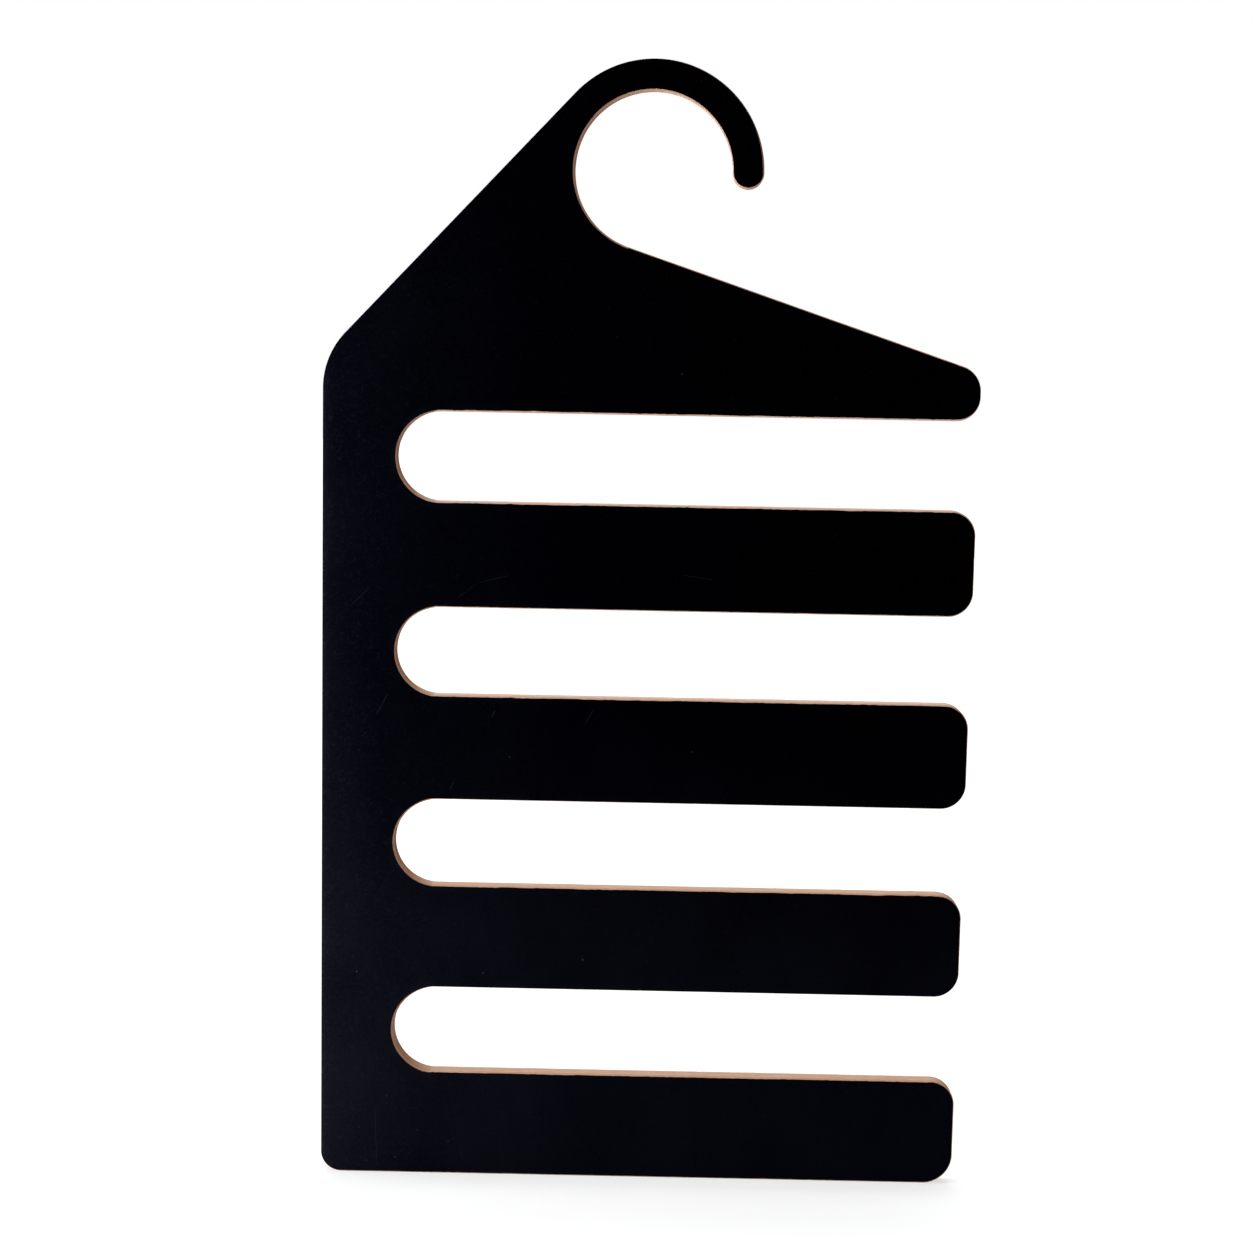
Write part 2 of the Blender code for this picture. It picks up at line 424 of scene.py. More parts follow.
def hook_arcs(sizes, edges, arm_underside):
    """The nose, the hook and the shoulder."""
    width, hook_x = sizes.board_width, sizes.hook_from_left
    inner_r, band = sizes.hook_inner_radius, sizes.hook_band
    hook_z = arm_underside + sizes.hook_above_arm
    slope = right_slope(sizes, arm_underside, hook_z)
    nose_r = sizes.nose_top_corner
    peak = arm_underside + sizes.nose_height
    nose_z = peak + nose_r * math.tan(slope) - nose_r / math.cos(slope)
    outer_r = inner_r + band
    shoulder_r = sizes.shoulder_radius
    lean = sizes.left_slope
    shoulder_drop = outer_r - shoulder_r + math.sin(lean) * (shoulder_r - hook_x)
    shoulder_z = hook_z + shoulder_drop / math.cos(lean)
    inside = by_angle(HOOK_INSIDE_ANGLES, edges.hook_easing)
    tip = by_angle(HOOK_TIP_ANGLES, edges.tip_easing)
    outside = by_angle(HOOK_OUTSIDE_ANGLES, edges.hook_outer_easing)
    return [
        corner(width - nose_r, nose_z, nose_r, RIGHT, UP - slope, edges.slope_easing,
               burnish=burn_and_shade_of("nose", edges)),
        hollow(hook_x, hook_z, inner_r, DOWN - slope, RIGHT, edges.hook_easing[0], inside,
               burn_and_shade_of("hook_inside", edges)),
        corner(hook_x + inner_r + band / 2, hook_z, band / 2, LEFT, FULL_TURN,
               edges.hook_outer_easing[0], tip, burn_and_shade_of("hook_tip", edges)),
        corner(hook_x, hook_z, outer_r, RIGHT, UP + lean, edges.outer_easing, outside,
               burn_and_shade_of("hook_outside", edges)),
        corner(shoulder_r, shoulder_z, shoulder_r, UP + lean, LEFT, edges.outer_easing,
               burnish=burn_and_shade_of("shoulder", edges)),
    ]


def arc_rows(arc, before, spacing):
    """Points of one arc as rows of x, z, outward x, outward z, easing and burn and painted
    shade.
    """
    sweep = arc["end"] - arc["start"]
    count = max(FEWEST_STEPS, math.ceil(abs(sweep) * arc["radius"] / spacing))
    rows = []
    for step in range(count + 1):
        angle = arc["start"] + sweep * step / count
        away = Vector((math.cos(angle), math.sin(angle)))
        spot = Vector((arc["x"], arc["z"])) + arc["radius"] * away
        if arc["easing"]:
            easing = arc["easing"](angle)
        else:
            easing = before + (arc["after"] - before) * step / count
        burnish = arc["burnish"](angle) if arc["burnish"] else 0.0
        rows.append((*spot, *(arc["outward"] * away), easing, burnish))
    return rows


def run_rows(start, end, spacing):
    """Points between two arcs, without either end."""
    gap = math.dist(start[:2], end[:2])
    count = round(gap / spacing)
    rows = []
    for step in range(1, count):
        at = step / count
        rows.append((start[0] + (end[0] - start[0]) * at, start[1] + (end[1] - start[1]) * at,
                     *start[2:5], min(start[5], end[5])))
    return rows


def outline(sizes, edges, spacing):
    """The sawn outline in the frame's place, as columns of numbers."""
    arcs = outline_arcs(sizes, edges)
    rounds = [arc_rows(arc, arcs[index - 1]["after"], ROUND_SPACING_SHARE * spacing)
              for index, arc in enumerate(arcs)]
    touching = spacing / 10
    rows = []
    for index, arc in enumerate(rounds):
        following = rounds[(index + 1) % len(rounds)]
        if math.dist(arc[-1][:2], following[0][:2]) < touching:
            rows += arc[:-1]
        else:
            straight = list(arc[-1])
            straight[4] = arcs[index]["after"]
            rows += arc + run_rows(tuple(straight), following[0], spacing)
    x, z, away_x, away_z, easing, burnish = np.array(rows).T
    x = x + cad_low.x
    z = z + cad_low.z
    steps = np.hypot(np.roll(x, -1) - x, np.roll(z, -1) - z)
    run = np.concatenate(([0.0], np.cumsum(steps)[:-1]))
    return {"x": x, "z": z, "away_x": away_x, "away_z": away_z, "easing": easing,
            "burnish": burnish, "run": run, "total": steps.sum()}


# Small irregularities along the outline


def wander(path, period, seed):
    """A smooth random wander along the outline, about zero."""
    pick = random.Random(seed)
    count = round(path["total"] / period)
    values = np.array([pick.gauss(0, 1) for _ in range(count)])
    at = path["run"] / path["total"] * count
    knot = np.floor(at).astype(int) % count
    ease = 0.5 - 0.5 * np.cos(math.pi * (at % 1.0))
    return values[knot] * (1 - ease) + values[(knot + 1) % count] * ease


def scattered(path, count, reach, height, seed):
    """Separate small bumps at random places along the outline."""
    pick = random.Random(seed)
    total = path["total"]
    heights = np.zeros(len(path["run"]))
    for _ in range(count):
        centre, half, tall = pick.random() * total, pick.uniform(*reach), pick.uniform(*height)
        off = np.abs((path["run"] - centre + total / 2) % total - total / 2)
        heights = np.maximum(heights, tall * np.clip(1 - off / half, 0, 1))
    return heights


def film_setback(path, edges, seed):
    """How far the film stops short of the sawn edge, with tongues and nicks."""
    even = path["easing"]
    uneven = 1 + edges.wander_share * (
        wander(path, LONG_WANDER, seed)
        + SHORT_WANDER_SHARE * wander(path, SHORT_WANDER, seed + 1))
    tongues = scattered(path, **TONGUES, seed=seed + 2)
    nicks = scattered(path, **NICKS, seed=seed + 3)
    ragged = np.clip((even - RAGGED_ABOVE) / RAGGED_ABOVE, 0, 1)
    ragged = ragged * (1 - BURN_AND_SHADE_CALMS * np.minimum(path["burnish"], 1.0))
    setback = even * (1 + ragged * (uneven - 1)) * (1 - ragged * tongues) + ragged * nicks
    return np.maximum(setback, edges.outer_easing / 2)


def wall_wear(path, seed):
    """How far a veneer's edge lies inside the sawn outline, with its tear-outs."""
    rub = RUB * (1 + RUB_WANDER * wander(path, RUB_PERIOD, seed))
    torn = scattered(path, **TEARS, seed=seed + 1)
    return np.maximum(rub, LEAST_RUB) + torn


# Mesh work


def deselect_all():
    for other in bpy.context.selected_objects:
        other.select_set(False)


def select_only(piece):
    deselect_all()
    piece.select_set(True)
    bpy.context.view_layer.objects.active = piece


def laid_outline(name, path, depth):
    """The outline as one closed loop of edges at that depth, its points numbered."""
    count = len(path["x"])
    curve = bpy.data.curves.new(name, "CURVE")
    curve.dimensions = "3D"
    spline = curve.splines.new("POLY")
    spline.points.add(count - 1)
    spots = np.column_stack((path["x"], np.full(count, depth), path["z"], np.ones(count)))
    spline.points.foreach_set("co", spots.ravel())
    spline.use_cyclic_u = True
    piece = bpy.data.objects.new(name, curve)
    bpy.context.scene.collection.objects.link(piece)
    select_only(piece)
    bpy.ops.object.convert(target="MESH")
    numbers = piece.data.attributes.new("number", "INT", "POINT")
    numbers.data.foreach_set("value", list(range(count)))
    return piece


def extrude_rings(count):
    """Fills the active loop and extrudes it, one ring of points after another."""
    bpy.ops.object.mode_set(mode="EDIT")
    bpy.ops.mesh.select_all(action="SELECT")
    bpy.ops.mesh.edge_face_add()
    for _ in range(count - 1):
        bpy.ops.mesh.extrude_region_move(TRANSFORM_OT_translate={"value": (0, RING_STEP, 0)})
    bpy.ops.object.mode_set(mode="OBJECT")


def shape_rings(piece, path, rings, depth):
    """Moves each ring to its depth and setback, and marks the arris, the burn and painted
    shade, and level.
    """
    mesh = piece.data
    count = len(mesh.vertices)
    number = np.zeros(count, int)
    mesh.attributes["number"].data.foreach_get("value", number)
    spots = np.zeros(3 * count)
    mesh.vertices.foreach_get("co", spots)
    ring = np.rint((spots[1::3] - depth) / RING_STEP).astype(int)
    points = len(path["x"])
    depths = np.array([np.broadcast_to(each["depth"], points) for each in rings])
    setbacks = np.array([np.broadcast_to(each["setback"], points) for each in rings])
    arris = np.array([each["arris"] for each in rings])
    inward = setbacks[ring, number]
    spots[0::3] = (path["x"][number] - inward * path["away_x"][number])
    spots[1::3] = depths[ring, number]
    spots[2::3] = (path["z"][number] - inward * path["away_z"][number])
    mesh.vertices.foreach_set("co", spots)
    for label, values in (("arris", arris[ring]), ("burnish", path["burnish"][number]),
                          ("level", np.abs(path["away_z"][number]))):
        mesh.attributes.new(label, "FLOAT", "POINT").data.foreach_set("value", values)
    mesh.attributes.remove(mesh.attributes["number"])
    mesh.update()


def finish_faces(piece):
    """Points the faces outwards and smooths the round stretches."""
    select_only(piece)
    bpy.ops.object.mode_set(mode="EDIT")
    bpy.ops.mesh.select_all(action="SELECT")
    bpy.ops.mesh.normals_make_consistent(inside=False)
    bpy.ops.object.mode_set(mode="OBJECT")
    bpy.ops.object.shade_smooth_by_angle(angle=SMOOTH_BELOW)


def sheet_piece(name, path, rings, finish):
    """One sheet of the board, from the rings round its edge, front to back."""
    depth = float(cad_low.y)
    piece = laid_outline(name, path, depth)
    extrude_rings(len(rings))
    shape_rings(piece, path, rings, depth)
    finish_faces(piece)
    piece.data.materials.append(finish)
    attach(piece, "root")
    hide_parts(name)
    return piece


def ring(depth, setback, arris=0.0):
    return {"depth": depth, "setback": setback, "arris": arris}


def layer_depths(name):
    low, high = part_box(name)
    return float(low.y), float(high.y)


def half_glue_line():
    """Half the gap that the frame leaves between two veneers for their glue."""
    return (layer_depths(VENEERS[1])[0] - layer_depths(VENEERS[0])[1]) / 2


# Shader work


class Shade:
    """A value that varies over a surface. Sums and products of it add Math nodes."""

    def __init__(self, finish, socket):
        self.finish = finish
        self.socket = socket

    def __add__(self, other):
        return self.finish.maths("ADD", self, other)

    def __radd__(self, other):
        return self.finish.maths("ADD", other, self)

    def __sub__(self, other):
        return self.finish.maths("SUBTRACT", self, other)

    def __rsub__(self, other):
        return self.finish.maths("SUBTRACT", other, self)

    def __mul__(self, other):
        return self.finish.maths("MULTIPLY", self, other)

    def __rmul__(self, other):
        return self.finish.maths("MULTIPLY", other, self)

    def __truediv__(self, other):
        return self.finish.maths("DIVIDE", self, other)

    def __lt__(self, other):
        return self.finish.maths("LESS_THAN", self, other)

    def __abs__(self):
        return self.finish.maths("ABSOLUTE", self)


class Finish:
    """The node tree of one surface, the floor or the world."""

    def __init__(self, owner, end_kind):
        owner.use_nodes = True
        self.owner = owner
        self.tree = owner.node_tree
        self.tree.nodes.clear()
        self.end = self.tree.nodes.new(end_kind)

    def node(self, kind, settings=None, inputs=None, output=0):
        made = self.tree.nodes.new(kind)
        for key, value in (settings or {}).items():
            setattr(made, key, value)
        for key, value in (inputs or {}).items():
            self.feed(made.inputs[key], value)
        return Shade(self, made.outputs[output])

    def feed(self, socket, value):
        if isinstance(value, Shade):
            self.tree.links.new(value.socket, socket)
        elif isinstance(value, (int, float)) or socket.type in ("VECTOR", "VALUE"):
            socket.default_value = value
        else:
            socket.default_value = (*value[:3], 1.0)

    def maths(self, operation, *values):
        return self.node("ShaderNodeMath", {"operation": operation}, dict(enumerate(values)))

    def vector(self, operation, inputs, output=0):
        return self.node("ShaderNodeVectorMath", {"operation": operation}, inputs, output)

    def mix(self, factor, first, second):
        """A colour between two, by a factor from 0 to 1."""
        return self.node("ShaderNodeMix", {"data_type": "RGBA", "clamp_factor": True},
                         {0: factor, 6: first, 7: second}, 2)

    def place(self):
        """Where a point lies on the piece, in millimetres."""
        spot = self.node("ShaderNodeTexCoord", output="Object")
        return self.vector("SCALE", {0: spot, "Scale": 1 / MM})

    def along(self, place, direction):
        return self.vector("DOT_PRODUCT", {0: place, 1: direction}, "Value")

    def flattened(self, place):
        """The place on the board's face, as the X and Y of a flat pattern."""
        return self.node("ShaderNodeCombineXYZ", None,
                         {"X": self.along(place, (1.0, 0.0, 0.0)),
                          "Y": self.along(place, (0.0, 0.0, 1.0))})

    def stretched(self, place, factors):
        return self.vector("MULTIPLY", {0: place, 1: factors})

    def noise(self, place, scale, detail=2.0, roughness=0.5, swirl=0.0):
        return self.node("ShaderNodeTexNoise", {"noise_dimensions": "3D"},
                         {"Vector": place, "Scale": scale, "Detail": detail,
                          "Roughness": roughness, "Distortion": swirl}, "Fac")

    def added(self, tint, other, amount):
        """A colour with some of another colour added to it."""
        more = self.vector("SCALE", {0: other, "Scale": amount})
        return self.vector("ADD", {0: tint, 1: more})

    def attribute(self, name):
        return self.node("ShaderNodeAttribute", {"attribute_name": name}, output="Fac")

    def band(self, value, low, high):
        """0 below low and 1 above high, with a smooth step between them."""
        return self.node("ShaderNodeMapRange", {"interpolation_type": "SMOOTHSTEP"},
                         {"Value": value, "From Min": low, "From Max": high}, "Result")

    def bump(self, height, distance, strength=1.0):
        return self.node("ShaderNodeBump", None,
                         {"Height": height, "Distance": distance, "Strength": strength},
                         "Normal")


def surface_finish(finish, constants, varying):
    """Closes a surface's nodes with the shader that they feed."""
    shader = finish.node("ShaderNodeBsdfPrincipled", None, {**constants, **varying}, "BSDF")
    finish.feed(finish.end.inputs["Surface"], shader)
    return finish.owner


def varied(level, *patterns):
    """A level with a share of each pattern's swing about its middle."""
    for amount, pattern in patterns:
        level = level + amount * (pattern - 0.5)
    return level


def scratch_mask(finish, place, scratches):
    """Hairlines on the front: each has its middle, direction, half length and half width."""
    mask = 0.0
    for middle_x, middle_z, degrees, half_length, half_width in scratches:
        turn = math.radians(degrees)
        run = (math.cos(turn), 0.0, math.sin(turn))
        cross = (-math.sin(turn), 0.0, math.cos(turn))
        along = finish.along(place, run) - (middle_x * run[0] + middle_z * run[2])
        aside = finish.along(place, cross) - (middle_x * cross[0] + middle_z * cross[2])
        ends = finish.band(abs(along), half_length, SCRATCH_TAPER * half_length)
        line = finish.band(abs(aside), half_width, SCRATCH_CORE * half_width)
        mask = ends * line + mask
    return mask


def speck_mask(finish, flat, specks):
    """Single grains of dust, each with its place on the front and its strength."""
    mask = 0.0
    for middle_x, middle_z, strength in specks:
        off = finish.vector("DISTANCE", {0: flat, 1: (middle_x, middle_z, 0.0)}, "Value")
        mask = strength * finish.band(off, *SPECK_EDGE) + mask
    return mask


def hair_mask(finish, flat, scale, swirl):
    """Short curly lines, such as felt leaves in a film."""
    field = finish.noise(flat, scale, detail=0.0, swirl=swirl)
    gaps = finish.noise(flat, 1.5 * scale, detail=0.0)
    return finish.band(abs(field - 0.5), *HAIR_EDGE) * finish.band(gaps, *HAIR_GAPS)


def slot_distance(finish, flat, sizes):
    """How far a point of the film lies from the nearest slot, in millimetres."""
    half_height = sizes.slot_height / 2
    pitch = (sizes.slot_height + sizes.arm_height) / MM
    lowest = (cad_low.z + sizes.bottom_arm_height + half_height) / MM
    centre = (cad_low.x + sizes.spine_width + half_height) / MM
    rise = finish.along(flat, (0.0, 1.0, 0.0)) - lowest
    slot = finish.maths("MAXIMUM", finish.maths("ROUND", rise / pitch), 0.0)
    aside = rise - finish.maths("MINIMUM", slot, sizes.slot_count - 1.0) * pitch
    before = finish.maths("MAXIMUM", centre - finish.along(flat, (1.0, 0.0, 0.0)), 0.0)
    return finish.maths("SQRT", before * before + aside * aside) - half_height / MM


def painted_sheen(finish, flat, tint, look, sizes, mottle, hairs):
    """The film's painted sheen: grey haze standing in for reflected light, by the spine, low
    down, and in patches round the slots.
    """
    across = finish.along(flat, (1.0, 0.0, 0.0)) - cad_low.x / MM
    down = finish.along(flat, (0.0, -1.0, 0.0))
    patches = finish.band(finish.noise(flat, 0.07, detail=1.0), *PATCH_EDGE)
    rim = finish.band(slot_distance(finish, flat, sizes), *RIM_SHEEN_WIDTH) * patches \
        * finish.maths("EXPONENT", across / -RIM_SHEEN_REACH)
    edge = finish.maths("EXPONENT", across * (-1 / EDGE_SHEEN_REACH))
    spine = finish.maths("EXPONENT", across / -SPINE_SHEEN_REACH) + 2.2 * edge
    low = finish.band(down, *LOW_SHEEN_START) \
        * finish.maths("EXPONENT", across / -LOW_SHEEN_REACH)
    tint = finish.added(tint, look.spine_sheen, spine * (mottle + 0.85 * hairs) + 0.8 * rim)
    return finish.added(tint, look.low_sheen, low * mottle)


def film_finish(look, sizes):
    """Black resin film: fine felt-like strokes, a painted sheen of grey haze, dust and
    scratches.
    """
    finish = Finish(bpy.data.materials.new("rack_film"), "ShaderNodeOutputMaterial")
    place = finish.place()
    flat = finish.flattened(place)
    front = finish.along(place, (0.0, 1.0, 0.0)) < 0.0
    grain = finish.noise(place, scale=3.2)
    speckle = finish.noise(place, scale=0.9, detail=3.0, roughness=0.65)
    strokes = finish.noise(place, scale=0.55, roughness=0.6, swirl=2.2)
    hairs = hair_mask(finish, flat, scale=0.21, swirl=1.0) \
        + hair_mask(finish, flat, scale=0.36, swirl=0.7)
    cloud = finish.noise(finish.stretched(place, (1.0, 1.0, 0.6)), scale=0.02, detail=3.0,
                         roughness=0.55)
    wipe = finish.noise(finish.stretched(place, (0.25, 1.0, 1.0)), scale=0.12, roughness=0.6)
    scratched = scratch_mask(finish, place, SCRATCHES) * front
    dots = finish.node("ShaderNodeTexVoronoi", {"voronoi_dimensions": "2D", "feature": "F1"},
                       {"Vector": flat, "Scale": 0.09, "Randomness": 1.0}, "Distance")
    scattered_dust = finish.band(dots + 0.018 * speckle, *DUST_EDGE)
    dusty = 0.20 * scattered_dust + speck_mask(finish, flat, SPECKS) * front
    mottle = varied(0.90, (1.5, cloud), (1.1, strokes), (0.7, speckle))
    # Painted sheen: grey haze added to the black, standing in for reflected light
    tint = painted_sheen(finish, flat, look.black, look, sizes, mottle, hairs)
    tint = finish.mix(scratched * 0.6, tint, look.scratch)
    tint = finish.mix(dusty * 0.9, tint, look.dust)
    rough = varied(look.roughness, (0.10, cloud), (0.08, wipe), (0.10, speckle),
                   (0.16, strokes)) + 0.12 * scratched
    height = 0.4 * grain + 0.5 * speckle + 1.6 * strokes + 0.5 * hairs - 0.8 * scratched \
        + 1.5 * dusty
    return surface_finish(
        finish,
        {"Metallic": 0.0, "Specular IOR Level": look.gloss, "IOR": 1.5,
         "Specular Tint": (0.22, 0.30, 1.0)},
        {"Base Color": tint, "Roughness": rough,
         "Normal": finish.bump(height, BUMP_DISTANCE, strength=0.8)})


def veneer_finish(name, look, grain_axis):
    """Bare veneer edge: solid fibres along the grain axis, cut by a router across them."""
    finish = Finish(bpy.data.materials.new(name), "ShaderNodeOutputMaterial")
    place = finish.place()
    fibres = [1.0, 1.0, 1.0]
    fibres[grain_axis] = FIBRE_STRETCH
    tracheids = finish.noise(finish.stretched(place, fibres), scale=4.2, detail=3.0,
                             roughness=0.6)
    streaks = finish.noise(finish.stretched(place, fibres), scale=1.1, detail=3.0,
                           roughness=0.6)
    patches = finish.noise(place, scale=0.11, detail=3.0, roughness=0.55)
    chatter = finish.noise(finish.stretched(place, (1.0, 0.05, 1.0)), scale=0.85,
                           roughness=0.6)
    level = finish.attribute("level")
    across = level if grain_axis == 2 else 1.0 - level
    arris = finish.attribute("arris")
    burnish = finish.attribute("burnish")
    tone = varied(0.5, (0.45, tracheids), (0.75, streaks), (0.55, patches), (0.50, chatter))
    wood = finish.mix(tone, look.dark, look.light)
    cut = finish.mix(varied(0.35, (0.6, tracheids)), look.end_grain, look.dark)
    wood = finish.mix(across * 0.75, wood, cut)
    depth = finish.along(place, (0.0, 1.0, 0.0))
    sheets = layer_depths(VENEERS[0])
    pitch = (layer_depths(VENEERS[1])[0] - sheets[0]) / MM
    first = sheets[0] / MM - half_glue_line() / MM
    turns = (depth - first) / pitch
    beside = abs(turns - finish.maths("ROUND", turns)) * pitch
    glued = finish.band(beside, *GLUE_EDGE)
    wood = finish.mix(glued * 0.75, wood, look.glue)
    wood = finish.mix(arris * 0.7, wood, look.arris)
    rise = finish.along(place, (0.0, 0.0, 1.0))
    # Painted sheen: the level edges of the upper arms are made paler
    sheen_band = finish.band(rise, *SHEEN_FROM) * finish.band(rise, *SHEEN_TO) * level
    wood = finish.mix(sheen_band * 0.42, wood, look.pale_sheen)
    # Painted shade, partly the cutter's burn: browns each wall by its amount of burn and shade
    wood = finish.mix(burnish * varied(0.92 - 0.30 * arris, (0.4, chatter)), wood,
                      look.burnt_and_shaded)
    # Painted shade: darker still where the amount passes 1
    wood = finish.mix(burnish - 1.0, wood, look.deeper_shade)
    rough = varied(look.roughness, (0.16, tracheids)) + 0.05 * across - 0.12 * burnish
    height = 0.5 * tracheids + 0.6 * streaks + 0.9 * chatter - 0.9 * glued
    return surface_finish(
        finish,
        {"Metallic": 0.0, "Specular IOR Level": 0.3},
        {"Base Color": wood, "Roughness": rough,
         "Normal": finish.bump(height, BUMP_DISTANCE, strength=0.7)})


def seen_rays(finish):
    """1 for what the camera, a gloss or a clear material sees, and 0 for light."""
    seen = 0.0
    for ray in ("Is Camera Ray", "Is Glossy Ray", "Is Transmission Ray"):
        seen = finish.node("ShaderNodeLightPath", output=ray) + seen
    return finish.maths("MINIMUM", seen, 1.0)


# Operators


class RACK_OT_films(bpy.types.Operator):
    """Lay the black film on the front and the back of the board"""

    bl_idname = "rack.films"
    bl_label = "Black films"

    def execute(self, context):
        scene = context.scene
        path = outline(scene.rack_sizes, scene.rack_edges, scene.rack_edges.point_spacing)
        finish = film_finish(scene.rack_film, scene.rack_sizes)
        for name, seed in (("front_film", FRONT_SEED), ("back_film", BACK_SEED)):
            near, far = layer_depths(name)
            setback = film_setback(path, scene.rack_edges, seed)
            rings = [ring(near, setback + FILM_ROUNDING), ring(near + FILM_ROUNDING, setback),
                     ring(far, setback)]
            if name == "back_film":
                rings = [ring(near, setback), ring(far - FILM_ROUNDING, setback),
                         ring(far, setback + FILM_ROUNDING)]
            sheet_piece(name, path, rings, finish)
        return {"FINISHED"}


def face_veneer_rings(name, path, edges, seed):
    """The outer veneer's edge: glue under the film, the sanded arris, then the sawn wall."""
    near, far = layer_depths(name)
    glue = half_glue_line()
    front = name == VENEERS[0]
    face, inner = (near, far) if front else (far, near)
    into = 1 if front else -1
    setback = film_setback(path, edges, seed)
    wall = np.minimum(wall_wear(path, seed + WALL_SEED), setback / 2)
    drop = np.minimum(edges.depth_share * setback, DEEPEST_ARRIS * (far - near))
    rings = [ring(face - into * 2 * glue, setback, 1.0), ring(face, setback, 1.0)]
    for across, down, arris in ARRIS_RINGS:
        rings.append(ring(face + into * drop * down, wall + (setback - wall) * across, arris))
    rings.append(ring(face + into * (drop + CREASE_DEPTH), wall))
    rings.append(ring(inner + into * glue, wall))
    return rings if front else rings[::-1]


class RACK_OT_face_veneers(bpy.types.Operator):
    """Build the two outer veneers, whose arris is sanded beside the film"""

    bl_idname = "rack.face_veneers"
    bl_label = "Face veneers"

    def execute(self, context):
        scene = context.scene
        edges = scene.rack_edges
        path = outline(scene.rack_sizes, edges, edges.point_spacing)
        finish = veneer_finish("rack_long_grain", scene.rack_wood, 2)
        for name, seed in ((VENEERS[0], FRONT_SEED), (VENEERS[-1], BACK_SEED)):
            rings = face_veneer_rings(name, path, edges, seed)
            sheet_piece(name, path, rings, finish)
        return {"FINISHED"}


class RACK_OT_core_veneers(bpy.types.Operator):
    """Build the five inner veneers, their grain turned from each to the next"""

    bl_idname = "rack.core_veneers"
    bl_label = "Core veneers"

    def execute(self, context):
        scene = context.scene
        path = outline(scene.rack_sizes, scene.rack_edges, scene.rack_edges.core_spacing)
        kinds = (("long_grain_veneer", veneer_finish("rack_core_long", scene.rack_wood, 2)),
                 ("cross_grain_veneer", veneer_finish("rack_core_cross", scene.rack_wood, 0)))
        glue = half_glue_line()
        for index, name in enumerate(VENEERS[1:-1], start=1):
            near, far = layer_depths(name)
            wall = wall_wear(path, CORE_SEED + CORE_SEED_STEP * index)
            slot, finish = kinds[index % 2]
            sheet_piece(name, path, [ring(near - glue, wall), ring(far + glue, wall)],
                        finish)
        return {"FINISHED"}


class RACK_OT_stage(bpy.types.Operator):
    """Set up the pale floor, the soft lights and the camera"""

    bl_idname = "rack.stage"
    bl_label = "Studio"

    def execute(self, context):
        look = context.scene.rack_stage
        context.scene.view_settings.view_transform = "Standard"
        add_floor(look)
        add_cards(look)
        add_world(look)
        for name, place, target, size, power in SOFTBOXES:
            softbox(name, place, target, size, getattr(look, power))
        add_camera(context.scene)
        return {"FINISHED"}


def add_floor(look):
    """A wide pale floor at the height of the bottom edge."""
    deselect_all()
    bpy.ops.mesh.primitive_plane_add(size=FLOOR_SIZE, location=(0, 0, cad_low.z))
    floor = bpy.context.object
    floor.name = "studio_floor"
    finish = Finish(bpy.data.materials.new("pale_floor"), "ShaderNodeOutputMaterial")
    paint = finish.node("ShaderNodeBsdfDiffuse", None, {"Color": look.floor_colour})
    lift = finish.node("ShaderNodeEmission", None, {"Strength": look.floor_lift})
    squeezed = finish.stretched(finish.place(), FLOOR_SQUEEZE)
    away = finish.vector("LENGTH", {0: squeezed}, "Value")
    far = finish.band(away, *FULL_LIFT)
    share = look.floor_lift_share + (1.0 - look.floor_lift_share) * far
    mixed = finish.node("ShaderNodeMixShader", None,
                        {0: share * seen_rays(finish), 1: paint, 2: lift})
    finish.feed(finish.end.inputs["Surface"], mixed)
    floor.data.materials.append(finish.owner)


def add_cards(look):
    """Black cards and a bright window, for the film's gloss alone to see."""
    black, bright = (Finish(bpy.data.materials.new(name), "ShaderNodeOutputMaterial")
                     for name in ("black_card", "window"))
    paint = black.node("ShaderNodeBsdfDiffuse", None, {"Color": (0.0, 0.0, 0.0)})
    black.feed(black.end.inputs["Surface"], paint)
    glow = bright.node("ShaderNodeEmission", None,
                       {"Color": (0.75, 0.85, 1.0), "Strength": look.window_glow})
    bright.feed(bright.end.inputs["Surface"], glow)
    upright = Matrix.Rotation(math.radians(90), 4, "X")
    slanted = Matrix.Rotation(math.radians(-52), 4, "Z") @ upright
    low = cad_low.z + 2 * MM
    wall, ground = (30.0, 12.0), (30.0, 1.56)
    cards = (("front_wall_card", (0, -1.9, 5.0), wall, upright, black),
             ("front_floor_card", (0, -1.13, low), ground, Matrix(), black),
             ("back_wall_card", (0, 1.9, 5.0), wall, upright, black),
             ("back_floor_card", (0, 1.13, low), ground, Matrix(), black),
             ("front_window", (-0.80, -0.62, -0.45), (0.6, 0.6), slanted, bright))
    for name, place, size, turn, finish in cards:
        deselect_all()
        bpy.ops.mesh.primitive_plane_add(size=1.0, location=place)
        card = bpy.context.object
        card.name = name
        card.data.transform(turn @ Matrix.Diagonal((*size, 1.0, 1.0)))
        card.data.materials.append(finish.owner)
        card.visible_camera = False
        card.visible_diffuse = False
        card.visible_transmission = False
        card.visible_shadow = False


def add_world(look):
    world = bpy.data.worlds.new("studio")
    bpy.context.scene.world = world
    finish = Finish(world, "ShaderNodeOutputWorld")
    light = finish.node("ShaderNodeBackground", None,
                        {"Color": (1.0, 1.0, 1.0), "Strength": look.ambient})
    white = finish.node("ShaderNodeBackground", None,
                        {"Color": (1.0, 1.0, 1.0), "Strength": 1.0})
    mixed = finish.node("ShaderNodeMixShader", None,
                        {0: seen_rays(finish), 1: light, 2: white})
    finish.feed(finish.end.inputs["Surface"], mixed)


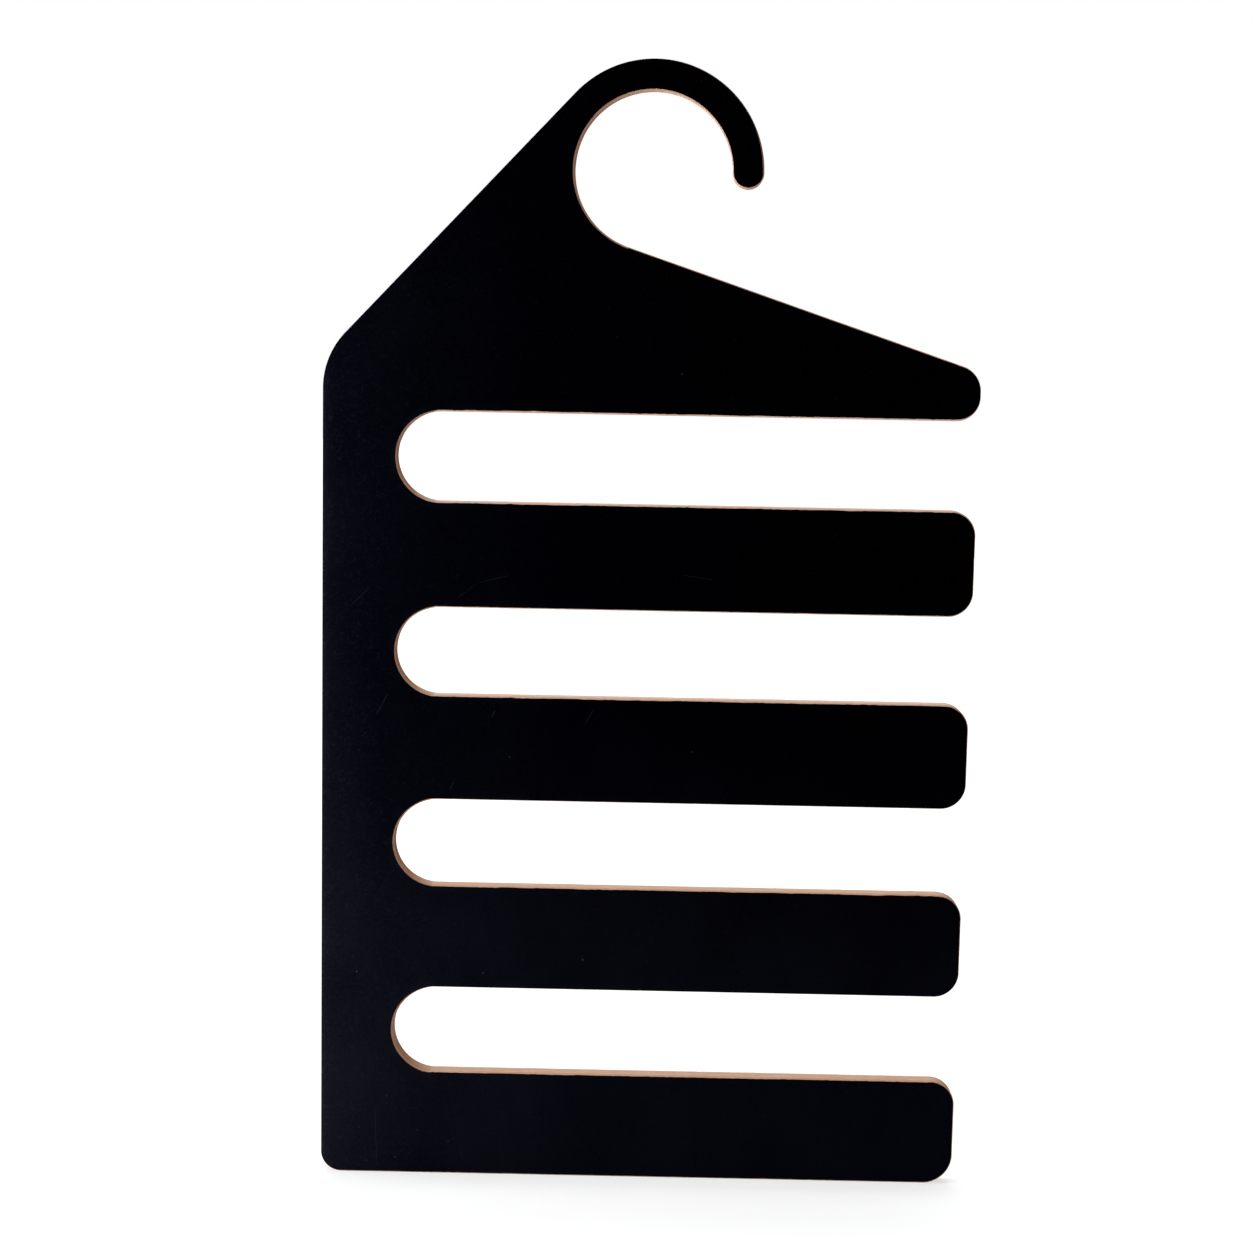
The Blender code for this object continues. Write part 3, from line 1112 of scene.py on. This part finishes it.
def softbox(name, place, target, size, power):
    lamp = bpy.data.lights.new(name, "AREA")
    lamp.shape = "RECTANGLE"
    lamp.size, lamp.size_y = size
    lamp.energy = power
    box = bpy.data.objects.new(name, lamp)
    bpy.context.scene.collection.objects.link(box)
    box.location = place
    box.rotation_euler = (Vector(target) - Vector(place)).to_track_quat("-Z", "Y").to_euler()
    box.visible_glossy = False


def add_camera(scene):
    """The camera where the photograph was taken from."""
    camera = bpy.data.objects.new("camera", bpy.data.cameras.new("camera"))
    scene.collection.objects.link(camera)
    camera.data.lens = CAMERA_LENS
    camera.data.sensor_width = CAMERA_SENSOR
    right, down, ahead = Vector(CAMERA_RIGHT), Vector(CAMERA_DOWN), Vector(CAMERA_AHEAD)
    turn = Matrix((right, -down, -ahead)).transposed().to_4x4()
    camera.matrix_world = Matrix.Translation(CAMERA_PLACE) @ turn
    camera.data.clip_start, camera.data.clip_end = CAMERA_CLIPS
    scene.camera = camera


class RACK_PT_panel(bpy.types.Panel):
    """The rack's pieces and settings"""

    bl_label = "Trouser rack"
    bl_idname = "RACK_PT_panel"
    bl_space_type = "VIEW_3D"
    bl_region_type = "UI"
    bl_category = "Trouser rack"

    def draw(self, context):
        layout = self.layout
        for operator in OPERATORS:
            layout.operator(operator.bl_idname)
        for name in SETTINGS:
            group = getattr(context.scene, name)
            box = layout.box()
            for key in group.bl_rna.properties.keys():
                if key not in ("rna_type", "name"):
                    box.prop(group, key)


OPERATORS = (RACK_OT_films, RACK_OT_face_veneers, RACK_OT_core_veneers, RACK_OT_stage)
SETTINGS = {
    "rack_sizes": BoardSizes,
    "rack_edges": EdgeWork,
    "rack_film": FilmLook,
    "rack_wood": WoodLook,
    "rack_stage": StageLook,
}


def register():
    for group in SETTINGS.values():
        bpy.utils.register_class(group)
    for name, group in SETTINGS.items():
        setattr(bpy.types.Scene, name, PointerProperty(type=group))
    for operator in OPERATORS:
        bpy.utils.register_class(operator)
    bpy.utils.register_class(RACK_PT_panel)


def unregister():
    bpy.utils.unregister_class(RACK_PT_panel)
    for operator in reversed(OPERATORS):
        bpy.utils.unregister_class(operator)
    for name, group in SETTINGS.items():
        delattr(bpy.types.Scene, name)
        bpy.utils.unregister_class(group)


def main():
    register()
    bpy.ops.rack.films()
    bpy.ops.rack.face_veneers()
    bpy.ops.rack.core_veneers()
    bpy.ops.rack.stage()


if __name__ == "__main__":
    main()
